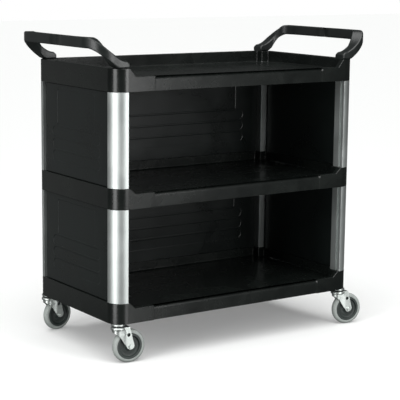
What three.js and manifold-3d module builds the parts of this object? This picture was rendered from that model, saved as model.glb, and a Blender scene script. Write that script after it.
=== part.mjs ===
// Food service trolley: three moulded shelves on aluminium corner posts, closed on both ends and the
// back by panels, with a push handle at each end and four swivel casters.
// Millimetres, +Z up. X runs along the trolley, the open side faces -Y, and the origin is on the floor
// under the middle.

import * as THREE from 'three';
import { mergeVertices } from 'three/addons/utils/BufferGeometryUtils.js';
import Module from 'manifold-3d';

const wasm = await Module();
wasm.setup();

// ---------------------------------------------------------------- driving dimensions

const gap = 0.3;                    // between pieces that touch

// shelves
const shelfLength = 894;
const shelfWidth = 480;
const cornerRadius = 45;            // plan radius of the shelf corners and of the posts
const shelfDepth = 62;              // bottom and middle shelf, at the corners
const topShelfDepth = 68;
const lipDrop = 17;                 // front lip below the corners, bottom and middle shelf
const topLipDrop = 24;
const deckBelowLip = 13;
const deckThickness = 4;
const skirtWall = 7;
const rimWidth = 24;                // end and back rims
const rimWall = 5;
const rimRoof = 8;
const lipWidth = 18;
const pedestalSize = 51;            // square corner block that carries a post
const shoulderRun = 19;             // slope from the corner block down to the front lip
const proudLip = 64;                // flat stretch of lip beside each shoulder
const apronSetback = 3;
const apronRoll = 14;
const ribThickness = 4;
const ribSpacing = 100;
const ribClearance = 12;            // ribs end this far above the skirt's lower edge
const trayCorner = 12;              // plan radius of the tray's corners
const casterBoreSides = 12;

// posts
const postLength = 279;
const postWall = 2.4;
const grooveWidth = 8.6;
const grooveDepth = 9;
const spigotSize = 19;
const spigotLength = 18;
const spigotClearance = 0.4;
const spigotCorner = 3;

// panels
const panelThickness = 18;
const tongueThickness = 8;
const panelInset = 15;              // panel's middle plane behind the shelf's outer face
const tongueInPost = 8;
const tongueInRim = 3.5;
const tongueInSkirt = 8;
const panelEdge = 2;                // thick part to the shelf above and below
const endPanelMargin = 11;          // thick part to the post
const backPanelMargin = 22;
const beadPitch = 37.5;
const beadCount = 3;
const beadBase = 38;                // lowest bead's lower edge above the panel's foot
const beadLand = 3;                 // flat left between two beads
const beadDepth = 2.5;
const panelBorder = 40;             // from the thick part's edge to the beads' ends

// handles
const handleReach = 69;             // beyond the shelf's end
const handleHeight = 88;            // above the top shelf
const handleSectionHeight = 31;
const handleSectionWidth = 20;
const handleSectionCorner = 7;
const handleBendRadius = 60;        // plan radius of the centre line
const handleLead = 8;               // centre line starts this far inside the foot
const handleSteps = 34;
const handleSideInset = 4;
const handleFootLength = 30;
const handleFootHeight = 14;
const handleFootMargin = 2;         // foot wider than the bar, each side
const handleSpring = 5.5;           // centre line above the shelf where it starts
const handleClimb = 0.8;            // share of the bend by which the bar has reached its height
const screwRadius = 3;
const screwHeadRadius = 5.5;
const screwHeadHeight = 4;
const screwClearance = 0.4;
const screwCover = 3;               // foot left over the screw's tip
const fastenerSides = 8;

// casters
const wheelDiameter = 102;
const wheelWidth = 22;
const treadThickness = 11.7;
const casterTrail = 32;
const wheelToCrown = 7;
const crownThickness = 3;
const crownRadius = 23;
const crownOverlap = 2;             // crown ends this far short of the axle, and legs start there
const sealThickness = 3.4;
const sealInset = 4;                // ring edges to the kingpin and to the crown's edge
const flangeThickness = 5.7;
const flangeRadius = 22;
const stemRadius = 5.5;
const stemLength = 38;
const socketWall = 2.3;
const kingpinRadius = 4.5;
const kingpinHeadRadius = 8;
const kingpinHeadHeight = 3;
const legThickness = 2.5;
const legGap = 3;                   // wheel hub to fork leg
const legEyeRadius = 12;            // round end of the leg
const legEyeUp = 3.5;               // its centre above the axle
const legEyeStart = Math.PI * 1.16;
const legEyeEnd = Math.PI * 2.04;
const legHoleRadius = 5.5;
const legHole = { back: 6, up: 37 };  // from the axle
const hubExtra = 2;                 // hub beyond the rim, each side
const axleRadius = 4;
const axleHeadRadius = 7;
const axleHeadHeight = 4;
const bushWall = 2;
const runningClearance = 0.3;
const hubWall = 6;
const hubTaper = 2;
const webHalf = 5;                  // half the thickness of the core between hub and rim
const rimBand = 6;
const rimTaper = 3;
const treadShoulder = { radial: 5, edge: 2.5, drop: 3, crown: 7 };
const wheelSides = 24;
const turnedSides = 16;
const crownSides = 20;
const boreSides = 12;

// each caster's own heading about its swivel, with the trolley parked
const corners = [
  { name: 'front_left', sx: -1, sy: -1, heading: -8 },
  { name: 'front_right', sx: 1, sy: -1, heading: -11 },
  { name: 'back_left', sx: -1, sy: 1, heading: 8 },
  { name: 'back_right', sx: 1, sy: 1, heading: 11 },
];

// ---------------------------------------------------------------- sizes worked out from those

const halfLength = shelfLength / 2;
const halfWidth = shelfWidth / 2;
const mountHeight = wheelDiameter + wheelToCrown + crownThickness + sealThickness + flangeThickness
  + 3 * gap;
const bottomTop = mountHeight + shelfDepth;
const middleBase = bottomTop + postLength;
const middleTop = middleBase + shelfDepth;
const topBase = middleTop + postLength;
const topTop = topBase + topShelfDepth;
const postOrigin = { x: halfLength - cornerRadius, y: halfWidth - cornerRadius };
const postCentroid = 4 * cornerRadius / (3 * Math.PI);
const swivel = { x: postOrigin.x + postCentroid, y: postOrigin.y + postCentroid };
const panelPlane = { x: halfLength - panelInset, y: halfWidth - panelInset };
const armY = halfWidth - handleSideInset - handleSectionWidth / 2;
const handleFootX = halfLength - pedestalSize + handleFootLength / 2;
const legInner = wheelWidth / 2 + hubExtra + legGap;
const wheelRadius = wheelDiameter / 2;
const coreRadius = wheelRadius - treadThickness;
const crownTop = wheelDiameter + wheelToCrown + crownThickness;

// ---------------------------------------------------------------- materials

const finish = (color, roughness, metalness = 0) => () =>
  new THREE.MeshStandardMaterial({ color, roughness, metalness });
const shelfPlastic = finish('#1c1f1e', 0.42);
const panelPlastic = finish('#262a2a', 0.5);
const handlePlastic = finish('#202423', 0.6);
const anodised = finish('#d6dad9', 0.32, 1);
const zinc = finish('#c3cac6', 0.3, 1);
const steel = finish('#8f9492', 0.4, 1);
const corePlastic = finish('#2b3331', 0.5);
const greyTread = finish('#a9afab', 0.75);
const sleevePlastic = finish('#3a3d3c', 0.6);
const sealPlastic = finish('#191b1b', 0.6);

// ---------------------------------------------------------------- shape helpers

// a closed geometry as a solid that can be cut and joined
function solidOf(geometry) {
  const bare = geometry.index ? geometry.toNonIndexed() : geometry.clone();
  bare.deleteAttribute('normal');
  bare.deleteAttribute('uv');
  const merged = mergeVertices(bare, 1e-4);
  return new wasm.Manifold(new wasm.Mesh({
    numProp: 3,
    vertProperties: new Float32Array(merged.attributes.position.array),
    triVerts: new Uint32Array(merged.index.array),
  }));
}

function geometryOf(solid) {
  const mesh = solid.getMesh();
  const geometry = new THREE.BufferGeometry();
  geometry.setAttribute('position', new THREE.BufferAttribute(mesh.vertProperties, 3));
  geometry.setIndex(new THREE.BufferAttribute(mesh.triVerts, 1));
  geometry.computeVertexNormals();
  return geometry;
}

function part(name, solid, material) {
  const mesh = new THREE.Mesh(geometryOf(solid), material());
  mesh.name = name;
  return mesh;
}

function box(x0, x1, y0, y1, z0, z1) {
  const geometry = new THREE.BoxGeometry(x1 - x0, y1 - y0, z1 - z0);
  return solidOf(geometry.translate((x0 + x1) / 2, (y0 + y1) / 2, (z0 + z1) / 2));
}

function extrusion(outline, depth, curveSegments) {
  return new THREE.ExtrudeGeometry(outline, { depth, bevelEnabled: false, curveSegments });
}

// a plan outline raised from z0 to z1
function slab(outline, z0, z1, curveSegments = 3) {
  return solidOf(extrusion(outline, z1 - z0, curveSegments).translate(0, 0, z0));
}

// an outline drawn in X and Z, given thickness from y0 to y1
function sideSlab(outline, y0, y1, curveSegments = 3) {
  const geometry = extrusion(outline, y1 - y0, curveSegments);
  return solidOf(geometry.rotateX(Math.PI / 2).translate(0, y1, 0));
}

// an outline drawn in Y and Z, given thickness from x0 to x1
function crossSlab(outline, x0, x1, curveSegments = 3) {
  const geometry = extrusion(outline, x1 - x0, curveSegments);
  return solidOf(geometry.rotateX(Math.PI / 2).rotateZ(Math.PI / 2).translate(x0, 0, 0));
}

// a profile of [radius, height] points turned about Z
function turned(profile, segments) {
  const points = profile.map(([radius, height]) => new THREE.Vector2(radius, height));
  return solidOf(new THREE.LatheGeometry(points, segments).rotateX(Math.PI / 2));
}

function ring(inner, outer, z0, z1, segments) {
  return turned([[inner, z0], [outer, z0], [outer, z1], [inner, z1], [inner, z0]], segments);
}

function rod(radius, z0, z1, segments) {
  return turned([[0, z0], [radius, z0], [radius, z1], [0, z1]], segments);
}

function polygon(points) {
  return new THREE.Shape(points.map(([x, y]) => new THREE.Vector2(x, y)));
}

function roundedRect(width, height, radius) {
  const x = width / 2 - radius;
  const y = height / 2 - radius;
  const shape = new THREE.Shape();
  shape.absarc(x, y, radius, 0, Math.PI / 2);
  shape.absarc(-x, y, radius, Math.PI / 2, Math.PI);
  shape.absarc(-x, -y, radius, Math.PI, 1.5 * Math.PI);
  shape.absarc(x, -y, radius, 1.5 * Math.PI, 2 * Math.PI);
  shape.closePath();
  return shape;
}

// a horizontal slot with round ends
function obround(length, height) {
  const x = (length - height) / 2;
  const shape = new THREE.Shape();
  shape.absarc(x, 0, height / 2, -Math.PI / 2, Math.PI / 2);
  shape.absarc(-x, 0, height / 2, Math.PI / 2, 1.5 * Math.PI);
  shape.closePath();
  return shape;
}

const union = solids => solids.reduce((all, solid) => all.add(solid));

// a solid drawn in the +X +Y corner, repeated in all four
function inEachCorner(solid) {
  return union(corners.map(({ sx, sy }) => solid.scale([sx, sy, 1])));
}

// ---------------------------------------------------------------- shelves

// the solid square block under and over each post
function pedestals(z0, z1) {
  return inEachCorner(box(halfLength - pedestalSize, halfLength + 1, halfWidth - pedestalSize,
    halfWidth + 1, z0, z1));
}

function trayRecess(deck, top) {
  const outline = roundedRect(shelfLength - 2 * rimWidth, shelfWidth - rimWidth - lipWidth,
    trayCorner);
  return slab(outline, deck, top + 1).translate(0, (lipWidth - rimWidth) / 2, 0)
    .subtract(pedestals(deck - 1, top + 2));
}

// front lip lowered between the corner blocks, with a slope at each end
function frontCut(lip, top) {
  const high = halfLength - pedestalSize;
  const low = high - shoulderRun;
  const slope = (top - lip + 1) / (top - lip) * shoulderRun;
  const outline = polygon([[-low, lip], [low, lip], [low + slope, top + 1], [-low - slope, top + 1]]);
  return sideSlab(outline, -halfWidth - 1, -halfWidth + lipWidth + 1);
}

// middle of the front apron, set back and rolled over into the lip
function apronCut(base, lip) {
  const face = -halfWidth + apronSetback;
  const end = halfLength - pedestalSize - shoulderRun - proudLip;
  const outline = new THREE.Shape();
  outline.moveTo(-halfWidth - 1, base - 1);
  outline.lineTo(face, base - 1);
  outline.lineTo(face, lip - apronRoll);
  outline.absarc(face + apronRoll, lip - apronRoll, apronRoll, Math.PI, Math.PI / 2, true);
  outline.lineTo(face + apronRoll, lip + 1);
  outline.lineTo(-halfWidth - 1, lip + 1);
  return crossSlab(outline, -end, end, 2);
}

// stiffening ribs that hang under the deck
function ribs(base, deck) {
  const z0 = base + ribClearance;
  const half = ribThickness / 2;
  const lines = [];
  for (let x = 0; x < halfLength; x += ribSpacing) {
    lines.push(box(x - half, x + half, -halfWidth, halfWidth, z0, deck));
    lines.push(box(-x - half, -x + half, -halfWidth, halfWidth, z0, deck));
  }
  for (let y = ribSpacing / 2; y < halfWidth; y += ribSpacing) {
    lines.push(box(-halfLength, halfLength, y - half, y + half, z0, deck));
    lines.push(box(-halfLength, halfLength, -y - half, -y + half, z0, deck));
  }
  return union(lines);
}

// the open underside: below the deck, and up inside the end and back rims
function underside(base, deck, top) {
  const inner = roundedRect(shelfLength - 2 * skirtWall, shelfWidth - 2 * skirtWall,
    cornerRadius - skirtWall);
  const underDeck = slab(inner, base - 1, deck - deckThickness).subtract(ribs(base, deck));
  const rimInner = box(-halfLength + rimWidth - rimWall, halfLength - rimWidth + rimWall,
    -halfWidth - 1, halfWidth - rimWidth + rimWall, base - 2, top);
  const front = box(-halfLength, halfLength, -halfWidth - 1, -halfWidth + pedestalSize, base - 2, top);
  const inRims = slab(inner, base - 1, top - rimRoof).subtract(rimInner).subtract(front);
  return underDeck.add(inRims).subtract(pedestals(base - 2, top));
}

// plugs that fill the hollow of the posts
function spigots(z0, z1) {
  const start = postWall + spigotClearance;
  const middle = start + spigotSize / 2;
  const plug = slab(roundedRect(spigotSize, spigotSize, spigotCorner), z0, z1, 1);
  return inEachCorner(plug.translate(postOrigin.x + middle, postOrigin.y + middle, 0));
}

// slots in the rims that the panels stand in
function panelSlots(top) {
  const half = grooveWidth / 2;
  const depth = tongueInRim + gap;
  const floor = top - depth;
  const end = box(panelPlane.x - half, panelPlane.x + half, -postOrigin.y, postOrigin.y, floor, top + 1);
  const back = box(-postOrigin.x, postOrigin.x, panelPlane.y - half, panelPlane.y + half, floor, top + 1);
  return end.add(end.mirror([1, 0, 0])).add(back);
}

function shelf({ base, depth, drop, postsAbove = false, postsBelow = false, castersBelow = false }) {
  const top = base + depth;
  const lip = top - drop;
  const deck = lip - deckBelowLip;
  let body = slab(roundedRect(shelfLength, shelfWidth, cornerRadius), base, top, 5)
    .subtract(trayRecess(deck, top))
    .subtract(frontCut(lip, top))
    .subtract(apronCut(base, lip))
    .subtract(underside(base, deck, top));
  if (postsAbove) {
    body = body.subtract(panelSlots(top)).add(spigots(top - 1, top + spigotLength));
  }
  if (postsBelow) {
    body = body.add(spigots(base - spigotLength, base + 1));
  }
  if (castersBelow) {
    const bore = rod(stemRadius + socketWall + 2 * gap, base - 1, base + stemLength + 2,
      casterBoreSides);
    body = body.subtract(inEachCorner(bore.translate(swivel.x, swivel.y, 0)));
  } else if (!postsAbove) {
    const shank = rod(screwRadius + screwClearance, base, top + 1, fastenerSides);
    const head = rod(screwHeadRadius + screwClearance, base - 1, base + screwHeadHeight + 1,
      fastenerSides);
    body = body.subtract(inEachCorner(shank.add(head).translate(handleFootX, armY, 0)));
  }
  return body;
}

// ---------------------------------------------------------------- posts

function quarterDisc(radius, inset) {
  const shape = new THREE.Shape();
  const reach = Math.sqrt(radius ** 2 - inset ** 2);
  const angle = Math.asin(inset / radius);
  shape.moveTo(inset, inset);
  shape.lineTo(reach, inset);
  shape.absarc(0, 0, radius, angle, Math.PI / 2 - angle);
  shape.lineTo(inset, reach);
  return shape;
}

// hollow quarter-round extrusion with a panel groove in each flat side
function post() {
  const z1 = postLength - gap;
  const middle = cornerRadius - panelInset;
  const groove = (wall, z0, zEnd) => {
    const half = grooveWidth / 2 + wall;
    const cut = box(middle - half, middle + half, -1, grooveDepth + wall, z0, zEnd);
    return cut.add(box(-1, grooveDepth + wall, middle - half, middle + half, z0, zEnd));
  };
  const hollow = slab(quarterDisc(cornerRadius - postWall, postWall), gap - 1, z1 + 1, 5)
    .subtract(groove(postWall, gap - 2, z1 + 2));
  return slab(quarterDisc(cornerRadius, 0), gap, z1, 5)
    .subtract(groove(0, gap - 1, z1 + 1))
    .subtract(hollow);
}

// ---------------------------------------------------------------- panels

// thick middle, thin tongues on all four edges, beads pressed into one face
// drawn standing in X and Z with its beads facing -Y, foot at z = 0
function panel(span, margin) {
  const half = span / 2;
  const bodyHalf = half - margin;
  const tongue = box(-half - tongueInPost, half + tongueInPost, -tongueThickness / 2,
    tongueThickness / 2, gap, postLength - gap);
  const foot = box(-half + 1, half - 1, -tongueThickness / 2, tongueThickness / 2, -tongueInRim, 1);
  const head = box(-half + 1 + rimWall, half - 1 - rimWall, -tongueThickness / 2, tongueThickness / 2,
    postLength - 1, postLength + tongueInSkirt);
  const body = box(-bodyHalf, bodyHalf, -panelThickness / 2, panelThickness / 2, panelEdge,
    postLength - panelEdge);
  const beads = [];
  for (let i = 0; i < beadCount; i += 1) {
    const outline = obround(2 * (bodyHalf - panelBorder), beadPitch - beadLand);
    const bead = sideSlab(outline, -panelThickness / 2 - 1, -panelThickness / 2 + beadDepth);
    beads.push(bead.translate(0, 0, beadBase + (i + 0.5) * beadPitch));
  }
  return tongue.add(foot).add(head).add(body).subtract(union(beads));
}

// ---------------------------------------------------------------- handles

// centre line of one handle: out along the side, round the corner while it climbs, and across
class HandlePath extends THREE.Curve {
  constructor() {
    super();
    this.start = handleFootX - handleFootLength / 2 + handleLead;
    this.bar = halfLength + handleReach - handleSectionWidth / 2;
    this.straight = this.bar - handleBendRadius - this.start;
    this.bend = handleBendRadius * Math.PI / 2;
    this.half = this.straight + this.bend + armY - handleBendRadius;
  }

  getPoint(t, target = new THREE.Vector3()) {
    const side = t > 0.5 ? 1 : -1;
    const run = 2 * this.half * (t > 0.5 ? 1 - t : t);
    const angle = THREE.MathUtils.clamp((run - this.straight) / handleBendRadius, 0, Math.PI / 2);
    const across = Math.max(0, run - this.straight - this.bend);
    const x = this.start + Math.min(run, this.straight) + handleBendRadius * Math.sin(angle);
    const y = armY - handleBendRadius * (1 - Math.cos(angle)) - across;
    const low = topTop + handleSpring;
    const high = topTop + handleHeight - handleSectionHeight / 2;
    const climb = this.straight + this.bend * handleClimb;
    return target.set(x, side * y, low + (high - low) * THREE.MathUtils.smoothstep(run, 0, climb));
  }

  // frames that keep the section upright all the way
  computeFrenetFrames(steps) {
    const frames = { tangents: [], normals: [], binormals: [] };
    for (let i = 0; i <= steps; i += 1) {
      const tangent = this.getTangentAt(i / steps);
      const flat = new THREE.Vector3(-tangent.y, tangent.x, 0).normalize();
      frames.tangents.push(tangent);
      frames.normals.push(flat);
      frames.binormals.push(tangent.clone().cross(flat));
    }
    return frames;
  }
}

// the right-hand handle, on the +X end
function handle() {
  const section = roundedRect(handleSectionWidth, handleSectionHeight, handleSectionCorner);
  const loop = solidOf(new THREE.ExtrudeGeometry(section,
    { steps: handleSteps, curveSegments: 1, extrudePath: new HandlePath() }));
  const seat = topTop + gap;
  const x0 = handleFootX - handleFootLength / 2;
  const footHalf = handleSectionWidth / 2 + handleFootMargin;
  const foot = box(x0, x0 + handleFootLength, armY - footHalf, armY + footHalf, seat,
    topTop + handleFootHeight);
  const pilotTop = topTop + handleFootHeight - screwCover + 1;
  const pilot = rod(screwRadius + screwClearance, seat - 1, pilotTop, fastenerSides)
    .translate(handleFootX, armY, 0);
  const below = box(0, halfLength + handleReach + 1, 0, halfWidth + 1, topBase, seat);
  const onBothSides = solid => solid.add(solid.mirror([0, 1, 0]));
  return loop.add(onBothSides(foot)).subtract(onBothSides(pilot)).subtract(onBothSides(below));
}

// screw up through the shelf's corner block into the handle's foot
function handleScrew() {
  const head = topBase + gap;
  const tip = topTop + handleFootHeight - screwCover;
  return turned([[0, head], [screwHeadRadius, head], [screwHeadRadius, head + screwHeadHeight],
    [screwRadius, head + screwHeadHeight], [screwRadius, tip], [0, tip]], fastenerSides);
}

// ---------------------------------------------------------------- casters
// drawn about the swivel axis, with the wheel trailing along +X and its axle along Y

const flangeTop = mountHeight - gap;
const flangeBottom = flangeTop - flangeThickness;

function swivelStem() {
  const pinBottom = crownTop - crownThickness - gap;
  const headBottom = pinBottom - kingpinHeadHeight;
  return turned([[0, headBottom], [kingpinHeadRadius, headBottom], [kingpinHeadRadius, pinBottom],
    [kingpinRadius, pinBottom], [kingpinRadius, flangeBottom], [flangeRadius, flangeBottom],
    [flangeRadius, flangeTop], [stemRadius, flangeTop], [stemRadius, mountHeight + stemLength],
    [0, mountHeight + stemLength]], turnedSides);
}

function stemSocket() {
  return ring(stemRadius + gap, stemRadius + gap + socketWall, mountHeight + 1,
    mountHeight + stemLength - 1, boreSides);
}

function swivelSeal() {
  const z0 = crownTop + gap;
  return ring(kingpinRadius + sealInset, crownRadius - sealInset, z0, z0 + sealThickness, turnedSides);
}

// pressed steel fork: a crown over the wheel and a tapered leg each side, round at the axle
function fork() {
  const crownBottom = crownTop - crownThickness;
  const crownHole = rod(kingpinRadius + runningClearance, crownBottom - 1, crownTop + 1, boreSides);
  const legOuter = legInner + legThickness;
  const bridge = box(0, casterTrail - crownOverlap, -legOuter, legOuter, crownBottom, crownTop);
  const crown = rod(crownRadius, crownBottom, crownTop, crownSides).add(bridge).subtract(crownHole);
  const outline = new THREE.Shape();
  outline.moveTo(-crownRadius / 6, crownTop);
  outline.lineTo(-crownRadius / 6, crownTop - crownRadius);
  outline.absarc(casterTrail, wheelRadius + legEyeUp, legEyeRadius, legEyeStart, legEyeEnd);
  outline.lineTo(casterTrail - crownOverlap, crownTop);
  const leg = sideSlab(outline, legInner, legOuter, 4);
  const both = solid => solid.add(solid.mirror([0, 1, 0]));
  const across = radius => rod(radius, -legOuter - 1, legOuter + 1, boreSides).rotate([90, 0, 0]);
  const axleHole = across(axleRadius + gap).translate(casterTrail, 0, wheelRadius);
  const lightening = across(legHoleRadius)
    .translate(casterTrail - legHole.back, 0, wheelRadius + legHole.up);
  return both(leg).add(crown).subtract(axleHole).subtract(lightening);
}

// the pieces on the axle are turned about Z, then laid along Y

function axleBolt() {
  const seat = -legInner - legThickness - gap;
  const head = rod(axleHeadRadius, seat - axleHeadHeight, seat, 6);
  return head.add(rod(axleRadius, seat - 1, legInner + legThickness + axleHeadHeight, fastenerSides));
}

function axleNut() {
  const seat = legInner + legThickness + gap;
  return rod(axleHeadRadius, seat, seat + axleHeadHeight, 6)
    .subtract(rod(axleRadius + gap, seat - 1, seat + axleHeadHeight + 1, fastenerSides));
}

function axleBush() {
  const half = legInner - gap;
  return ring(axleRadius + gap, axleRadius + gap + bushWall, -half, half, boreSides);
}

// a ring from the profile of one of its two faces, listed from the bore outwards
function bothFaces(side) {
  const other = side.map(([radius, height]) => [radius, -height]);
  return turned([...other, ...side.reverse(), other[0]], wheelSides);
}

function wheelCore() {
  const bore = axleRadius + gap + bushWall + runningClearance;
  const hub = wheelWidth / 2 + hubExtra;
  const half = wheelWidth / 2;
  const side = [[bore, hub], [bore + hubWall, hub], [bore + hubWall + hubTaper, webHalf],
    [coreRadius - rimBand - rimTaper, webHalf], [coreRadius - rimBand, half], [coreRadius, half]];
  return bothFaces(side);
}

function tyre() {
  const inner = coreRadius + gap;
  const half = wheelWidth / 2;
  const { radial, edge, drop, crown } = treadShoulder;
  return bothFaces([[inner, half], [inner + radial, half], [wheelRadius - edge, half - drop],
    [wheelRadius, half - crown]]);
}

function caster({ name, sx, sy, heading }) {
  const swivelGroup = new THREE.Group();
  swivelGroup.position.set(sx * swivel.x, sy * swivel.y, 0);
  swivelGroup.rotation.z = THREE.MathUtils.degToRad(heading);
  const axle = new THREE.Group();
  axle.position.set(casterTrail, 0, wheelRadius);
  axle.rotation.x = -Math.PI / 2;
  axle.add(
    part(`axle_bolt_${name}`, axleBolt().mirror([0, 0, 1]), zinc),
    part(`axle_nut_${name}`, axleNut().mirror([0, 0, 1]), zinc),
    part(`axle_bush_${name}`, axleBush(), steel),
    part(`wheel_core_${name}`, wheelCore(), corePlastic),
    part(`tyre_${name}`, tyre(), greyTread),
  );
  swivelGroup.add(
    part(`stem_socket_${name}`, stemSocket(), sleevePlastic),
    part(`swivel_stem_${name}`, swivelStem(), zinc),
    part(`swivel_seal_${name}`, swivelSeal(), sealPlastic),
    part(`fork_${name}`, fork(), zinc),
    axle,
  );
  return swivelGroup;
}

// ---------------------------------------------------------------- assembly

const trolley = new THREE.Group();

trolley.add(
  part('bottom_shelf', shelf({ base: mountHeight, depth: shelfDepth, drop: lipDrop, postsAbove: true,
    castersBelow: true }), shelfPlastic),
  part('middle_shelf', shelf({ base: middleBase, depth: shelfDepth, drop: lipDrop, postsAbove: true,
    postsBelow: true }), shelfPlastic),
  part('top_shelf', shelf({ base: topBase, depth: topShelfDepth, drop: topLipDrop, postsBelow: true }),
    shelfPlastic),
  part('handle_right', handle(), handlePlastic),
  part('handle_left', handle().mirror([1, 0, 0]), handlePlastic),
);

for (const corner of corners) {
  const placed = solid => solid.scale([corner.sx, corner.sy, 1]);
  const standing = post().translate(postOrigin.x, postOrigin.y, 0);
  trolley.add(
    part(`lower_post_${corner.name}`, placed(standing).translate(0, 0, bottomTop), anodised),
    part(`upper_post_${corner.name}`, placed(standing).translate(0, 0, middleTop), anodised),
    part(`handle_screw_${corner.name}`, placed(handleScrew().translate(handleFootX, armY, 0)), zinc),
    caster(corner),
  );
}

for (const [level, foot] of [['lower', bottomTop], ['upper', middleTop]]) {
  const end = panel(2 * postOrigin.y, endPanelMargin).rotate([0, 0, 90]).translate(panelPlane.x, 0, foot);
  const back = panel(2 * postOrigin.x, backPanelMargin).translate(0, panelPlane.y, foot);
  trolley.add(
    part(`${level}_end_panel_right`, end, panelPlastic),
    part(`${level}_end_panel_left`, end.mirror([1, 0, 0]), panelPlastic),
    part(`${level}_back_panel`, back, panelPlastic),
  );
}

export default trolley;
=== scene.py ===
import math

import bmesh
import bpy
from mathutils import Matrix, Vector


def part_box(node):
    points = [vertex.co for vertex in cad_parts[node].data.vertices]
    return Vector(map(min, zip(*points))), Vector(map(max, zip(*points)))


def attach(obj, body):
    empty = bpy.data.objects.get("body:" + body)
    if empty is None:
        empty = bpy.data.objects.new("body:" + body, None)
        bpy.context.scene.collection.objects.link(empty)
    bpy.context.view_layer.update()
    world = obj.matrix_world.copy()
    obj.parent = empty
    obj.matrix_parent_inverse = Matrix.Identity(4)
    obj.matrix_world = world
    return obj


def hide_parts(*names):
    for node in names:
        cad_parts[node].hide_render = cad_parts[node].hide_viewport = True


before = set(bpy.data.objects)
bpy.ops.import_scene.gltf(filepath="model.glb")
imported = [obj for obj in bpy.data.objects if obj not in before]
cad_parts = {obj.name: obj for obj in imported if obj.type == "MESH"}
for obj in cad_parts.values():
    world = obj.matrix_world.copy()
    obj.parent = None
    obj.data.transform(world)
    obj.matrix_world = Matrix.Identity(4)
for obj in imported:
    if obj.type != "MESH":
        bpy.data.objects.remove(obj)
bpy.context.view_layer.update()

print("frame loaded")

corners = {
    "front_left": (-1, -1),
    "front_right": (1, -1),
    "back_left": (-1, 1),
    "back_right": (1, 1),
}


# materials

def linear(code):
    # an sRGB hex code as the linear colour that shaders want
    channels = [int(code[i:i + 2], 16) / 255 for i in (1, 3, 5)]
    return [c / 12.92 if c <= 0.04045 else ((c + 0.055) / 1.055) ** 2.4 for c in channels] + [1]


def addNode(tree, kind, settings=None, inputs=None, links=None):
    node = tree.nodes.new(kind)
    for key, value in (settings or {}).items():
        setattr(node, key, value)
    for key, value in (inputs or {}).items():
        node.inputs[key].default_value = value
    for key, source in (links or {}).items():
        tree.links.new(source, node.inputs[key])
    return node


def per(size):
    # noise scale that gives one feature for each size in millimetres
    return 1000 / size


def makeMaterial(look):
    material = bpy.data.materials.new(look["name"])
    material.use_nodes = True
    tree = material.node_tree
    tree.nodes.clear()
    place = addNode(tree, "ShaderNodeTexCoord").outputs["Object"]
    stretched = addNode(tree, "ShaderNodeMapping", inputs={"Scale": look.get("stretch", (1, 1, 1))},
                        links={"Vector": place}).outputs[0]
    grain = addNode(tree, "ShaderNodeTexNoise", inputs={"Scale": per(look["grain"]), "Detail": 3,
                    "Roughness": 0.6}, links={"Vector": stretched}).outputs["Fac"]
    cloud = addNode(tree, "ShaderNodeTexNoise", inputs={"Scale": per(look["cloud"]), "Detail": 5,
                    "Roughness": 0.55, "Distortion": 0.6}, links={"Vector": place}).outputs["Fac"]
    fine = addNode(tree, "ShaderNodeTexNoise", inputs={"Scale": per(look["speck"]), "Detail": 2},
                   links={"Vector": place}).outputs["Fac"]
    spread = addNode(tree, "ShaderNodeMapRange", inputs={"From Min": 0.3, "From Max": 0.7},
                     links={"Value": cloud}).outputs[0]
    colour = addNode(tree, "ShaderNodeMix", {"data_type": "RGBA"},
                     {6: linear(look["dark"]), 7: linear(look["light"])}, {0: spread}).outputs[2]
    dust = addNode(tree, "ShaderNodeMapRange", inputs={"From Min": 0.58, "From Max": 0.75,
                   "To Max": look["speckle"]}, links={"Value": fine}).outputs[0]
    colour = addNode(tree, "ShaderNodeMix", {"data_type": "RGBA"}, {7: linear(look["fleck"])},
                     {0: dust, 6: colour}).outputs[2]
    low, high = look["roughness"]
    gloss = addNode(tree, "ShaderNodeMapRange", inputs={"From Min": 0.3, "From Max": 0.7,
                    "To Min": low, "To Max": high}, links={"Value": cloud}).outputs[0]
    bump = addNode(tree, "ShaderNodeBump", inputs={"Strength": look["bump"],
                   "Distance": look["relief"] / 1000}, links={"Height": grain}).outputs[0]
    shader = addNode(tree, "ShaderNodeBsdfPrincipled", inputs={"Metallic": look.get("metallic", 0)},
                     links={"Base Color": colour, "Roughness": gloss, "Normal": bump})
    for key, value in look.get("shader", {}).items():
        shader.inputs[key].default_value = value
    addNode(tree, "ShaderNodeOutputMaterial", links={"Surface": shader.outputs[0]})
    return material


# black polypropylene, injection moulded with a spark-eroded grain: soft broad highlights, faint
# flow clouds, and a grain of 0.8 mm drawn at 2.5 mm so that it shows
shelfPolypropylene = makeMaterial({
    "name": "shelfPolypropylene", "dark": "#0f1211", "light": "#161a18", "fleck": "#232725",
    "speckle": 0.5, "grain": 2.5, "cloud": 90, "speck": 4, "roughness": (0.23, 0.3),
    "bump": 0.2, "relief": 0.2, "shader": {"IOR": 1.49},
})

# the same plastic in the panels, a little greyer and flatter from its coarser grain
panelPolypropylene = makeMaterial({
    "name": "panelPolypropylene", "dark": "#101413", "light": "#161b1a", "fleck": "#242a28",
    "speckle": 0.4, "grain": 3, "cloud": 130, "speck": 5, "roughness": (0.26, 0.34),
    "bump": 0.3, "relief": 0.3, "shader": {"IOR": 1.49},
})

# glass-filled nylon handle, moulded with a fine leathery grain that hands have polished in places
handleNylon = makeMaterial({
    "name": "handleNylon", "dark": "#151918", "light": "#1e2221", "fleck": "#2f3432",
    "speckle": 0.6, "grain": 2, "cloud": 45, "speck": 3, "roughness": (0.28, 0.42),
    "bump": 0.35, "relief": 0.3, "shader": {"IOR": 1.53},
})

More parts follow.
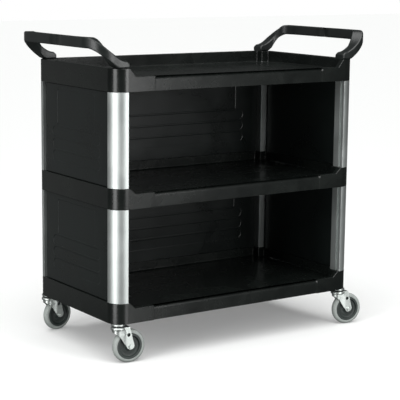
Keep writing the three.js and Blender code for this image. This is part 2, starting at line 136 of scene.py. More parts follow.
# satin anodised aluminium extrusion: near white, with die lines along its length; lines of 0.2 mm
# are drawn 1.2 mm apart so that they show
anodisedAluminium = makeMaterial({
    "name": "anodisedAluminium", "dark": "#c9cfcd", "light": "#dde2e0", "fleck": "#b7bebb",
    "speckle": 0.15, "grain": 1.2, "stretch": (1, 1, 0.004), "cloud": 160, "speck": 9,
    "roughness": (0.46, 0.54), "bump": 0.05, "relief": 0.05, "metallic": 1,
})

# zinc-plated pressed steel: bright and slightly uneven, with cloudy passivation
zincPlatedSteel = makeMaterial({
    "name": "zincPlatedSteel", "dark": "#c2c9c5", "light": "#dde2df", "fleck": "#a9b1ad",
    "speckle": 0.2, "grain": 3, "cloud": 14, "speck": 5, "roughness": (0.36, 0.48),
    "bump": 0.06, "relief": 0.06, "metallic": 1,
})

# turned steel, plain: darker, with fine rings left by the tool
turnedSteel = makeMaterial({
    "name": "turnedSteel", "dark": "#7f8583", "light": "#9aa09d", "fleck": "#6a706e",
    "speckle": 0.3, "grain": 1.5, "cloud": 10, "speck": 3, "roughness": (0.3, 0.42),
    "bump": 0.2, "relief": 0.1, "metallic": 1,
})

# charcoal polyamide wheel centre, moulded smooth
corePolyamide = makeMaterial({
    "name": "corePolyamide", "dark": "#252c2a", "light": "#313a37", "fleck": "#454d4a",
    "speckle": 0.4, "grain": 2, "cloud": 25, "speck": 3, "roughness": (0.38, 0.5),
    "bump": 0.2, "relief": 0.2, "shader": {"IOR": 1.53},
})

# grey non-marking thermoplastic rubber, moulded matt, with scuffs and floor dust
greyRubber = makeMaterial({
    "name": "greyRubber", "dark": "#959b98", "light": "#aab0ac", "fleck": "#7c8380",
    "speckle": 0.5, "grain": 2.2, "cloud": 30, "speck": 4, "roughness": (0.55, 0.7),
    "bump": 0.35, "relief": 0.3, "shader": {"IOR": 1.51},
})

# black nylon of the stem sleeves and swivel seals, moulded and slightly waxy
sealNylon = makeMaterial({
    "name": "sealNylon", "dark": "#151717", "light": "#1f2222", "fleck": "#2a2d2d",
    "speckle": 0.3, "grain": 2, "cloud": 12, "speck": 3, "roughness": (0.4, 0.5),
    "bump": 0.2, "relief": 0.2, "shader": {"IOR": 1.53},
})

print("materials made")


# shape helpers; pieces are drawn in millimetres and scaled to metres when they are finished

def boxOf(node):
    low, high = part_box(node)
    return [v * 1000 for v in low], [v * 1000 for v in high]


def slicePlane(bm, point, normal, chosen=None):
    faces = [f for f in bm.faces if chosen is None or chosen(f)]
    geom = {v for f in faces for v in f.verts} | {e for f in faces for e in f.edges} | set(faces)
    bmesh.ops.bisect_plane(bm, geom=list(geom), plane_co=point, plane_no=normal)


def sliceAt(bm, axis, values, chosen=None):
    normal = Vector([float(i == axis) for i in range(3)])
    for value in values:
        slicePlane(bm, normal * value, normal, chosen)


def vertsIn(geom):
    return [v for v in geom if isinstance(v, bmesh.types.BMVert)]


def push(bm, faces, offset):
    # extrudes faces, without their originals, and moves what was made
    edges = {e for f in faces for e in f.edges}
    made = bmesh.ops.extrude_face_region(bm, geom=list(faces) + list(edges))["geom"]
    bmesh.ops.translate(bm, vec=offset, verts=vertsIn(made))
    bm.normal_update()
    return [f for f in made if isinstance(f, bmesh.types.BMFace)]


def middle(edge):
    return (edge.verts[0].co + edge.verts[1].co) / 2


def roundEdges(bm, width, segments, chosen, angle=25):
    bm.normal_update()
    limit = math.radians(angle)
    edges = [e for e in bm.edges if len(e.link_faces) == 2 and e.calc_face_angle(0) > limit
             and chosen(e)]
    bmesh.ops.bevel(bm, geom=edges, offset=width, affect="EDGES", segments=segments, profile=0.5,
                    material=-1, clamp_overlap=False)


def loopOf(bm, verts):
    return [bm.edges.new((a, b)) for a, b in zip(verts, verts[1:] + verts[:1])]


def stepLoop(bm, edges, steps):
    # draws a closed loop on through rows of (half width, lowest z, highest z, y), then closes it
    for half, low, high, y in steps:
        made = bmesh.ops.extrude_edge_only(bm, edges=edges)["geom"]
        verts = vertsIn(made)
        edges = [e for e in made if isinstance(e, bmesh.types.BMEdge)]
        wide = max(v.co.x for v in verts)
        bottom, top = min(v.co.z for v in verts), max(v.co.z for v in verts)
        for v in verts:
            share = (v.co.z - bottom) / (top - bottom)
            v.co = Vector((v.co.x / wide * half, y, low + share * (high - low)))
    bmesh.ops.contextual_create(bm, geom=edges)


def turn(bm, profile, steps, axis=(0, 0, 1)):
    # a closed profile of [radius, height] turned about an axis
    about = Vector(axis)
    side = Vector((1, 0, 0))
    verts = [bm.verts.new(side * radius + about * height) for radius, height in profile]
    edges = loopOf(bm, verts)
    bmesh.ops.spin(bm, geom=verts + edges, cent=(0, 0, 0), axis=axis, angle=math.tau,
                   steps=steps, use_merge=True)


def finishPiece(name, bm, material, body, replaced=(), place=None, smooth=32, modifiers=()):
    bmesh.ops.remove_doubles(bm, verts=bm.verts, dist=0.002)
    matrix = Matrix.Scale(0.001, 4) @ (place or Matrix.Identity(4))
    bmesh.ops.transform(bm, matrix=matrix, verts=bm.verts)
    bmesh.ops.recalc_face_normals(bm, faces=bm.faces)
    bm.normal_update()
    for f in bm.faces:
        f.smooth = True
    for e in bm.edges:
        e.smooth = len(e.link_faces) != 2 or e.calc_face_angle(0) < math.radians(smooth)
    mesh = bpy.data.meshes.new(name)
    bm.to_mesh(mesh)
    bm.free()
    mesh.materials.append(material)
    piece = bpy.data.objects.new(name, mesh)
    bpy.context.scene.collection.objects.link(piece)
    for kind, settings in modifiers:
        modifier = piece.modifiers.new(kind.title(), kind)
        for key, value in settings.items():
            setattr(modifier, key, value)
    weighted = piece.modifiers.new("Shading", "WEIGHTED_NORMAL")
    weighted.keep_sharp = True
    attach(piece, body)
    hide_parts(*replaced)
    return piece


# shelves: one tray moulding each, cut and pushed out of a rounded block

shelfShape = {
    "corner": 45,        # plan radius
    "skirtWall": 7,
    "rimWidth": 24,
    "lipWidth": 18,
    "block": 51,         # square corner block
    "shoulder": 19,      # slope down to the front lip
    "proudLip": 64,
    "setback": 3,        # middle of the front apron
    "roll": 12,
    "deckBelowLip": 13,
    "deckThickness": 4,
    "ribsUp": 12,        # ribs end this far above the skirt
    "ribSpacing": 100,
    "ribThickness": 4,
    "padDepth": 1.2,
    "padDown": (3, 20),      # below the corners' top
    "padAlong": (323, 384),  # from the middle, at the pad's top edge
    "padLean": 0.3,
    "drops": {"bottom_shelf": 17, "middle_shelf": 17, "top_shelf": 24},
    "cornerSteps": 14,
    "rollSteps": 6,
    "fillets": {"upright": 4, "deck": 5, "edge": 1.8, "foot": 1.2},
}


def makeShelf(name, base, top, drop):
    s = shelfShape
    low, high = boxOf(name)
    halfLength, halfWidth = high[0], high[1]
    lip = top - drop
    deck = lip - s["deckBelowLip"]
    blockX, blockY = halfLength - s["block"], halfWidth - s["block"]
    lowX = blockX - s["shoulder"]
    endX = lowX - s["proudLip"]
    trayX, trayBack = halfLength - s["rimWidth"], halfWidth - s["rimWidth"]
    trayFront = -halfWidth + s["lipWidth"]
    skirtX, skirtY = halfLength - s["skirtWall"], halfWidth - s["skirtWall"]

    bm = bmesh.new()
    bmesh.ops.create_grid(bm, x_segments=1, y_segments=1, size=1)
    bmesh.ops.scale(bm, vec=(halfLength, halfWidth, 1), verts=bm.verts)
    bmesh.ops.translate(bm, vec=(0, 0, base), verts=bm.verts)
    bmesh.ops.bevel(bm, geom=bm.verts[:], offset=s["corner"], affect="VERTICES",
                    segments=s["cornerSteps"], profile=0.5, material=-1)
    push(bm, bm.faces[:], (0, 0, top - base))
    bmesh.ops.recalc_face_normals(bm, faces=bm.faces)
    for x in (skirtX, trayX, blockX, lowX, endX, endX - s["setback"]):
        sliceAt(bm, 0, (x, -x))
    sliceAt(bm, 1, (-skirtY, skirtY, trayFront, trayBack, -blockY, blockY))
    bm.normal_update()

    def clearOfBlocks(p):
        return abs(p.x) < blockX or abs(p.y) < blockY

    def inTray(p):
        return abs(p.x) < trayX and trayFront < p.y < trayBack and clearOfBlocks(p)

    tray = [f for f in bm.faces if f.normal.z > 0.9 and inTray(f.calc_center_median())]
    push(bm, tray, (0, 0, deck - top))

    # front lip, lower than the corners
    for v in bm.verts:
        if v.co.y < trayFront + 0.1 and abs(v.co.x) < lowX + 0.1 and v.co.z > top - 0.1:
            v.co.z = lip

    # middle of the apron, set back and rolled over into the lip
    turns = [math.pi / 2 * i / s["rollSteps"] for i in range(s["rollSteps"])]
    rows = [lip - s["roll"] + s["roll"] * math.sin(a) for a in turns]
    sliceAt(bm, 2, rows, lambda f: f.normal.y < -0.9 and f.calc_center_median().y < -halfWidth + 0.1
          and abs(f.calc_center_median().x) < endX)
    for v in bm.verts:
        if v.co.y < -halfWidth + 0.1 and abs(v.co.x) < endX - s["setback"] + 0.1:
            rise = max(0, min(1, (v.co.z - lip + s["roll"]) / s["roll"]))
            v.co.y = -halfWidth + s["setback"] + s["roll"] * (1 - math.sqrt(1 - rise * rise))

    # underside: up to the ribs' ends first, then the cells between the ribs up to the deck
    bm.normal_update()
    under = [f for f in bm.faces if f.normal.z < -0.9 and f.calc_center_median().z < base + 0.1
             and abs(f.calc_center_median().x) < skirtX and abs(f.calc_center_median().y) < skirtY
             and clearOfBlocks(f.calc_center_median())]
    ribEnd = base + s["ribsUp"]
    push(bm, under, (0, 0, s["ribsUp"]))
    half = s["ribThickness"] / 2
    ribX = [s["ribSpacing"] * i for i in range(-4, 5)]
    ribY = [s["ribSpacing"] * (i + 0.5) for i in range(-2, 2)]

    def atRibEnd(f):
        return f.normal.z < -0.9 and abs(f.calc_center_median().z - ribEnd) < 0.1

    sliceAt(bm, 0, [x + side for x in ribX for side in (-half, half)], atRibEnd)
    sliceAt(bm, 1, [y + side for y in ribY for side in (-half, half)], atRibEnd)

    def onRib(p):
        return any(abs(p.x - x) < half for x in ribX) or any(abs(p.y - y) < half for y in ribY)

    cells = [f for f in bm.faces if atRibEnd(f) and not onRib(f.calc_center_median())]
    push(bm, cells, (0, 0, deck - s["deckThickness"] - ribEnd))

    # shallow pads on the back rim's inner face, near the corners
    def onBackRim(f):
        p = f.calc_center_median()
        return f.normal.y < -0.9 and abs(p.y - trayBack) < 0.1 and p.z > deck

    padTop, padBottom = (top - down for down in s["padDown"])
    padStart, padEnd = s["padAlong"]
    sliceAt(bm, 2, (padTop, padBottom), onBackRim)
    for side in (-1, 1):
        lean = side * s["padLean"]
        slicePlane(bm, (side * padStart, 0, padTop), Vector((1, 0, lean)).normalized(), onBackRim)
        slicePlane(bm, (side * padEnd, 0, padTop), Vector((1, 0, -lean)).normalized(), onBackRim)
    bm.normal_update()
    pads = [f for f in bm.faces if onBackRim(f) and padBottom < f.calc_center_median().z < padTop
            and padStart + 2 < abs(f.calc_center_median().x) < padEnd - 3]
    push(bm, pads, (0, -s["padDepth"], 0))
    bmesh.ops.dissolve_limit(bm, angle_limit=math.radians(0.5), use_dissolve_boundaries=False,
                             verts=bm.verts, edges=bm.edges)

    def inside(p):
        return abs(p.x) < trayX + 0.5 and trayFront - 0.5 < p.y < trayBack + 0.5

    def upright(e):
        return abs((e.verts[0].co - e.verts[1].co).normalized().z) > 0.99

    def onPad(p):
        return (p.y > trayBack - 2 and padStart - 6 < abs(p.x) < padEnd + 5
                and padBottom - 1 < p.z < padTop + 1)

    def atSetback(p):
        return abs(abs(p.x) - endX + 1.5) < 3 and p.y < trayFront - 0.5

    fillets = s["fillets"]
    roundEdges(bm, fillets["upright"], 4, lambda e: upright(e) and middle(e).z > deck
               and inside(middle(e)) and not onPad(middle(e)))
    roundEdges(bm, fillets["deck"], 4, lambda e: all(abs(v.co.z - deck) < 0.1 for v in e.verts))
    roundEdges(bm, fillets["edge"], 3, lambda e: middle(e).z > deck + fillets["deck"] + 0.2
               and not onPad(middle(e)) and not atSetback(middle(e)))
    roundEdges(bm, fillets["foot"], 2, lambda e: abs(middle(e).z - base) < 0.1)
    return bm


gap = 0.3       # left between a shelf and what stands on it
bottomBase = boxOf("bottom_shelf")[0][2]
bottomTop = boxOf("lower_post_front_left")[0][2] - gap
middleBase = boxOf("lower_post_front_left")[1][2] + gap
middleTop = boxOf("upper_post_front_left")[0][2] - gap
topBase = boxOf("upper_post_front_left")[1][2] + gap
topTop = boxOf("top_shelf")[1][2]

for name, base, top in (
    ("bottom_shelf", bottomBase, bottomTop),
    ("middle_shelf", middleBase, middleTop),
    ("top_shelf", topBase, topTop),
):
    bm = makeShelf(name, base, top, shelfShape["drops"][name])
    finishPiece(name.replace("_shelf", "Tray"), bm, shelfPolypropylene, "frame",
                [name])

print("shelves made")


# posts: hollow quarter-round extrusions with a panel groove in each flat side

postShape = {
    "wall": 2.4,
    "grooveMiddle": 30,
    "grooveWidth": 8.6,
    "grooveDepth": 9,
    "arcSteps": 24,
    "edge": 0.7,
}


def makePost(radius, height):
    s = postShape
    near, far = s["grooveMiddle"] - s["grooveWidth"] / 2, s["grooveMiddle"] + s["grooveWidth"] / 2
    deep = s["grooveDepth"]
    bm = bmesh.new()
    flat = [(radius, 0), (far, 0), (far, deep), (near, deep), (near, 0), (0, 0), (0, near),
            (deep, near), (deep, far), (0, far), (0, radius)]
    verts = [bm.verts.new((x, y, 0)) for x, y in flat]
    for a, b in zip(verts, verts[1:]):
        bm.edges.new((a, b))
    bmesh.ops.spin(bm, geom=[verts[0]], cent=(0, 0, 0), axis=(0, 0, 1), angle=math.pi / 2,
                   steps=s["arcSteps"], use_merge=False)
    bmesh.ops.remove_doubles(bm, verts=bm.verts, dist=0.01)
    made = bmesh.ops.extrude_edge_only(bm, edges=bm.edges[:])["geom"]
    bmesh.ops.translate(bm, vec=(0, 0, height), verts=vertsIn(made))
    return bm


for level in ("lower", "upper"):
    for corner, (sx, sy) in corners.items():
        node = f"{level}_post_{corner}"
        low, high = boxOf(node)
        radius = high[0] - low[0]
        origin = (low[0] if sx > 0 else high[0], low[1] if sy > 0 else high[1], low[2])
        place = Matrix.Translation(origin) @ Matrix.Diagonal((sx, sy, 1, 1))
        finishPiece(f"{level}Post_{corner}", makePost(radius, high[2] - low[2]), anodisedAluminium,
                    "frame", [node], place, modifiers=(
            ("SOLIDIFY", {"thickness": postShape["wall"] / 1000, "offset": -1,
                          "use_even_offset": True}),
            ("BEVEL", {"width": postShape["edge"] / 1000, "segments": 3, "limit_method": "ANGLE",
                       "angle_limit": math.radians(40)}),
        ))

print("posts made")


# panels: a thick middle on a thin plate, with three long beads and a plain field in one face
# drawn standing in X and Z with that face towards -Y, foot at z = 0

panelShape = {
    "thickness": 18,
    "plate": 8,
    "foot": 2,           # thick middle above the plate's foot
    "border": 40,        # from its edge to the beads' ends
    "beadBase": 38,
    "beadPitch": 37.5,
    "beadLand": 3,
    "beadDepth": 2.5,    # back panels
    "faintDepth": 0.9,   # outside of the end panels
    "fieldBorder": 71,
    "fieldHead": 14,
    "ribX": 140,
    "marks": (142, 102, 62, 10),    # heights of the round marks under the uprights
    "tongue": 8,                    # plate past the posts' faces
    "back": {"span": 804, "margin": 22},
    "end": {"span": 390, "margin": 11},
}


def ovalLoop(bm, half, low, high, radius, y):
    # a rectangle with round corners, standing in X and Z
    shape = bmesh.new()
    bmesh.ops.create_grid(shape, x_segments=1, y_segments=1, size=1)
    bmesh.ops.scale(shape, vec=(half, (high - low) / 2, 1), verts=shape.verts)
    bmesh.ops.bevel(shape, geom=shape.verts[:], offset=radius, affect="VERTICES", segments=10,
                    profile=0.5, material=-1)
    points = [loop.vert.co.copy() for loop in shape.faces[:][0].loops]
    shape.free()
    return loopOf(bm, [bm.verts.new((p.x, y, p.y + (low + high) / 2)) for p in points])


def makePanel(height, deep, span, margin, ribs):
    s = panelShape
    bodyHalf = span / 2 - margin
    face, plate = s["thickness"] / 2, s["plate"] / 2
    low, high = s["foot"], height - s["foot"]
    bm = bmesh.new()
    outer = ovalLoop(bm, bodyHalf - 1, low + 1, high - 1, 3, -face)
    beads = []
    for i in range(3):
        bottom = s["beadBase"] + i * s["beadPitch"] + s["beadLand"] / 2
        top = bottom + s["beadPitch"] - s["beadLand"]
        beads.append((bodyHalf - s["border"], bottom, top, (top - bottom) / 2 - 0.01))
    fieldLow = s["beadBase"] + 3 * s["beadPitch"] + s["beadLand"] / 2
    beads.append((bodyHalf - s["fieldBorder"], fieldLow, high - s["fieldHead"], 6))
    holes = [ovalLoop(bm, half, bottom, top, radius, -face) for half, bottom, top, radius in beads]
    bmesh.ops.triangle_fill(bm, use_beauty=True, use_dissolve=False,
                            edges=outer + [e for hole in holes for e in hole])
    for hole, (half, bottom, top, radius) in zip(holes, beads):
        # a rolled rim, a drafted wall and a fillet at the floor
        stepLoop(bm, hole, [(half - inset, bottom + inset, top - inset, -face + depth)
                            for inset, depth in ((0.5, 0.06), (0.9, 0.24), (1.1, 0.56), (1.6, 0.84),
                                                 (2.6, 1))])
    plateHalf = bodyHalf + margin + s["tongue"]
    stepLoop(bm, outer, [
        (bodyHalf - 0.3, low + 0.3, high - 0.3, -face + 0.3),
        (bodyHalf, low, high, -face + 1),
        (bodyHalf, low, high, -plate),
        (plateHalf, -3.3, height + 7, -plate),
        (plateHalf, -3.3, height + 7, plate),
        (bodyHalf, low, high, plate),
        (bodyHalf, low, high, face - 1),
        (bodyHalf - 0.3, low + 0.3, high - 0.3, face - 0.3),
        (bodyHalf - 1, low + 1, high - 1, face),
    ])
    if ribs:
        # thin uprights down the plain field, and small round marks under them
        for side in (-1, 1):
            made = bmesh.ops.create_cube(bm, size=1)["verts"]
            bmesh.ops.scale(bm, vec=(3, 2, high - s["fieldHead"] - fieldLow), verts=made)
            bmesh.ops.translate(bm, vec=(side * s["ribX"], -face + deep,
                                         (high - s["fieldHead"] + fieldLow) / 2), verts=made)
            for z in s["marks"]:
                made = bmesh.ops.create_cone(bm, cap_ends=True, segments=16, radius1=2.6, radius2=2,
                                             depth=1.6)["verts"]
                bmesh.ops.rotate(bm, matrix=Matrix.Rotation(math.pi / 2, 3, "X"), verts=made)
                depth = 0 if z < s["beadBase"] else deep
                bmesh.ops.translate(bm, vec=(side * s["ribX"], -face + depth, z), verts=made)
    return bm


for level, foot, head in (("lower", bottomTop, middleBase), ("upper", middleTop, topBase)):
    height = head - foot
    low, high = boxOf(f"{level}_back_panel")
    place = Matrix.Translation((0, (low[1] + high[1]) / 2, foot))
    bm = makePanel(height, panelShape["beadDepth"], ribs=True, **panelShape["back"])
    finishPiece(f"{level}BackPanel", bm, panelPolypropylene, "frame",
                [f"{level}_back_panel"], place)
    for side, sx in (("left", -1), ("right", 1)):
        low, high = boxOf(f"{level}_end_panel_{side}")
        place = (Matrix.Translation(((low[0] + high[0]) / 2, 0, foot))
                 @ Matrix.Rotation(sx * math.pi / 2, 4, "Z"))
        bm = makePanel(height, panelShape["faintDepth"], ribs=False, **panelShape["end"])
        finishPiece(f"{level}EndPanel_{side}", bm, panelPolypropylene, "frame",
                    [f"{level}_end_panel_{side}"], place)

print("panels made")


# handles: an upright blade that leaves the corner block, climbs and loops past the shelf's end

handleShape = {
    "start": 396.3,      # end face of the foot
    "bar": 506,          # middle of the bar
    "arm": 226,          # middle of the arm
    "bend": 60,
    "width": 20,
    "footWidth": 24,
    "broad": 18,         # how much wider the arm is towards the loop's middle
    "height": 31,
    "low": 877.8,        # middle of the blade where it starts
    "climb": 0.8,        # share of the bend by which it has reached its height
    "steps": 36,
    "corner": 5,
    "nose": (7, 9),      # chamfer over the foot's end: down and along
    "taper": 34,         # run over which the foot narrows to the bar
    "footRuns": (0, 0.5, 1.5, 3, 5, 9, 14, 20, 27, 34, 41),
    "endInset": {0: 2.4, 0.5: 1.4, 1.5: 0.5},
}


def makeHandle(topZ):
    s = handleShape
    straight = s["bar"] - s["bend"] - s["start"]
    bend = s["bend"] * math.pi / 2
    across = s["arm"] - s["bend"]
    seat = topTop + gap
    highMiddle = topZ - s["height"] / 2
    # runs along one half, with the rounded foot first
    runs = list(s["footRuns"])
    runs += [straight + bend * i / s["steps"] for i in range(s["steps"] + 1)]
    runs += [straight + bend + across * i / 6 for i in range(1, 7)]
    down, along = s["nose"]
    stations = []
    for run in runs:
        angle = max(0, min(math.pi / 2, (run - straight) / s["bend"]))
        past = max(0, run - straight - bend)
        x = s["start"] + min(run, straight) + s["bend"] * math.sin(angle)
        y = s["arm"] - s["bend"] * (1 - math.cos(angle)) - past
        share = max(0, min(1, (run - 8) / (straight - 8 + bend * s["climb"])))
        centre = s["low"] + (highMiddle - s["low"]) * share * share * (3 - 2 * share)
        top = centre + s["height"] / 2 - max(0, down * (1 - run / along))
        bottom = max(seat, centre - s["height"] / 2)
        width = s["width"] + (s["footWidth"] - s["width"]) * max(0, 1 - run / s["taper"])
        trim = s["endInset"].get(run, 0)
        fade = max(0, min(1, (run - straight - bend * 0.3) / (bend * 0.7 + 60)))
        extra = s["broad"] * (1 - fade * fade * (3 - 2 * fade))
        stations.append((x, y, angle, width - 2 * trim, bottom, top - trim * 0.4, -extra))
    mirrored = [(x, -y, -angle, *sizes, -extra) for x, y, angle, *sizes, extra
                in reversed(stations[:-1])]

    bm = bmesh.new()
    bmesh.ops.create_grid(bm, x_segments=1, y_segments=1, size=0.5)
    bmesh.ops.scale(bm, vec=(s["width"], s["height"], 1), verts=bm.verts)
    bmesh.ops.bevel(bm, geom=bm.verts[:], offset=s["corner"], affect="VERTICES", segments=4,
                    profile=0.5, material=-1)
    section = bm.faces[:][0]
    outline = [v.co.copy() for v in section.verts]
    for i, (x, y, angle, width, bottom, top, extra) in enumerate(stations + mirrored):
        if i > 0:
            section = push(bm, [section], (0, 0, 0))[0]
        across = Vector((math.sin(angle), math.cos(angle), 0))
        height = top - bottom
        squeeze = min(1, height / 2 / s["corner"])
        for v, p in zip(section.verts, outline):
            # corners keep their radius while the blade changes its height and width
            sideways = math.copysign(max(0, abs(p.x) - s["width"] / 2 + width / 2), p.x)
            sideways += extra if extra * p.x > 0 else 0
            upward = math.copysign(abs(p.y) - s["height"] / 2 + height / 2, p.y) * squeeze
            v.co = Vector((x, y, (bottom + top) / 2)) + across * sideways + Vector((0, 0, upward))
    return bm


for side, sx in (("right", 1), ("left", -1)):
    node = f"handle_{side}"
    bm = makeHandle(boxOf(node)[1][2])
    finishPiece(f"pushHandle_{side}", bm, handleNylon, "frame", [node],
                Matrix.Diagonal((sx, 1, 1, 1)), smooth=50)

print("handles made")


# casters, drawn about the swivel axis with the wheel trailing along +X

casterShape = {
    "trail": 32,
    "axle": 51,
    "crownTop": 112,
    "sheet": 2.5,
    "wall": 17,          # outer half width of the wrapped wall
    "pad": 18.5,         # outer half width of the raised leg
    "eye": 12,
    "eyeUp": 3.5,
    "hole": (26, 88, 5.5),
    "eyeFrom": 3.62,     # round end of the leg, in radians about the axle
    "eyeSweep": 2.75,
    "wallRise": 11,      # how much shorter the wrapped wall is in its middle
    "padStart": (13, 15.5),
    "seat": 18.8,        # bolt head and nut, from the wheel's middle
    "head": (7, 5.2, 4, 4.5),    # half across corners, end's radius, thickness, end's length
    "nut": (7, 4, 4, 5),
}

flangeProfile = [(0, 106), (6.5, 106), (7.8, 107), (8, 108.7), (4.5, 108.9), (4.5, 116), (20.8, 116),
                 (21.8, 116.5), (22, 117.5), (22, 120.2), (21.6, 121.2), (20.8, 121.7), (5.5, 121.7),
                 (5.5, 159), (4.8, 160), (0, 160)]
sealProfile = [(8.5, 112.4), (18.2, 112.4), (19, 113.1), (19, 114.8), (18.2, 115.6), (8.5, 115.6)]
crownProfile = [(4.8, 109), (4.8, 111.6), (5.2, 112), (18.5, 112), (20.6, 111.5), (22.2, 110.3),
                (22.9, 108.6), (23, 106.8), (22.6, 104.5), (21.6, 103.4), (20.6, 103.4),
                (20.5, 106.8), (20, 108.4), (18.6, 109)]
tyreProfile = [(39.7, -10.4), (40.3, -11), (43.6, -11), (45.6, -10.4), (47.6, -9), (49.4, -6.9),
               (50.5, -4.4), (50.9, -2), (51, 0)]
coreProfile = [(6.7, -12.6), (7, -13), (11.4, -13), (12.2, -12.4), (13.4, -7.2), (14.6, -6),
               (22, -5.4), (22.6, -6.2), (23.8, -6.2), (24.4, -5.4), (29.6, -5.2), (31, -6),
               (32.4, -9.8), (33.4, -10.8), (38.6, -10.8), (39.3, -10.2)]


def bothSides(profile):
    # a profile of (radius, across) listed on one side only, closed through the other
    other = [(radius, -across) for radius, across in reversed(profile) if across != 0]
    return profile + other


def makeForkLegs():
    s = casterShape
    eyeZ = s["axle"] + s["eyeUp"]
    bm = bmesh.new()
    top = s["crownTop"] - s["sheet"]
    inner = s["wall"] - s["sheet"] / 2
    outline = [bm.verts.new(p) for p in (
        (s["trail"] - 2, inner, top), (14, inner, top), (-2, inner, top), (-2, inner, 96),
        (-2, inner, 85),
    )]
    edges = [bm.edges.new((a, b)) for a, b in zip(outline, outline[1:])]
    # round end at the axle, from the sloping edge below to the upright edge behind
    start = bm.verts.new((s["trail"] + s["eye"] * math.cos(s["eyeFrom"]), inner,
                          eyeZ + s["eye"] * math.sin(s["eyeFrom"])))
    made = bmesh.ops.spin(bm, geom=[start], cent=(s["trail"], 0, eyeZ), axis=(0, -1, 0),
                          angle=s["eyeSweep"], steps=18, use_merge=False)["geom_last"]
    last = vertsIn(made)[0]
    edges.append(bm.edges.new((outline[-1], start)))
    edges.append(bm.edges.new((last, outline[0])))
    holeX, holeZ, holeRadius = s["hole"]
    turns = [math.tau * i / 24 for i in range(24)]
    loopOf(bm, [bm.verts.new((holeX + holeRadius * math.cos(a), inner,
                              holeZ + holeRadius * math.sin(a))) for a in turns])
    bmesh.ops.triangle_fill(bm, use_beauty=True, use_dissolve=False, edges=bm.edges[:])
    # slanting front wall, wrapped round the swivel side to the middle
    front = [e for e in bm.edges if all(abs(v.co.x + 2) < 0.01 for v in e.verts)]
    bmesh.ops.spin(bm, geom=front + outline[2:], cent=(-2, 0, 0), axis=(0, 0, 1),
                   angle=math.pi / 2, steps=9, use_merge=False)
    bmesh.ops.remove_doubles(bm, verts=bm.verts, dist=0.01)
    for v in bm.verts:
        if v.co.x < -2.1 and v.co.z < 90:
            v.co.z += s["wallRise"] * min(1, (-2 - v.co.x) / inner)
    # flat pad that stands out of the wall towards the axle
    sliceAt(bm, 0, s["padStart"], lambda f: abs(f.calc_center_median().y - inner) < 0.1)
    for v in bm.verts:
        if v.co.x > s["padStart"][1] - 0.5 and v.co.y > inner - 0.1:
            v.co.y += s["pad"] - s["wall"]
    bmesh.ops.mirror(bm, geom=bm.verts[:] + bm.edges[:] + bm.faces[:], axis="Y", merge_dist=0.01)
    return bm


def makeForkCrown():
    s = casterShape
    bm = bmesh.new()
    turn(bm, crownProfile, 48)
    # plate from the round crown back over the wheel
    top = s["crownTop"]
    made = bmesh.ops.create_cube(bm, size=1)["verts"]
    reach = s["trail"] - 2
    bmesh.ops.scale(bm, vec=(reach - 8, 2 * s["pad"] - 0.2, s["sheet"]), verts=made)
    bmesh.ops.translate(bm, vec=((reach + 8) / 2, 0, top - s["sheet"] / 2 - 0.05), verts=made)
    edges = {e for v in made for e in v.link_edges if middle(e).z > top - 1}
    bmesh.ops.bevel(bm, geom=list(edges), offset=1.2, affect="EDGES", segments=3, profile=0.5,
                    material=-1, clamp_overlap=True)
    return bm


def makeHex(across, bore, thickness, domed):
    # a hexagon head or nut, lying along Y from its seat at y = 0 outwards to -Y
    bm = bmesh.new()
    bmesh.ops.create_cone(bm, cap_ends=True, segments=6, radius1=across, radius2=across,
                          depth=thickness)
    bmesh.ops.bevel(bm, geom=[e for e in bm.edges if middle(e).z > 0.1 and abs(e.verts[0].co.z
                    - e.verts[1].co.z) < 0.1], offset=0.9, affect="EDGES", segments=2, profile=0.5,
                    material=-1, clamp_overlap=True)
    bmesh.ops.create_cone(bm, cap_ends=True, segments=20, radius1=bore, radius2=bore - 0.6,
                          depth=domed)
    verts = bm.verts[:]
    bmesh.ops.translate(bm, vec=(0, 0, thickness / 2), verts=verts)
    bmesh.ops.rotate(bm, matrix=Matrix.Rotation(math.pi / 2, 3, "X"), verts=verts)
    return bm


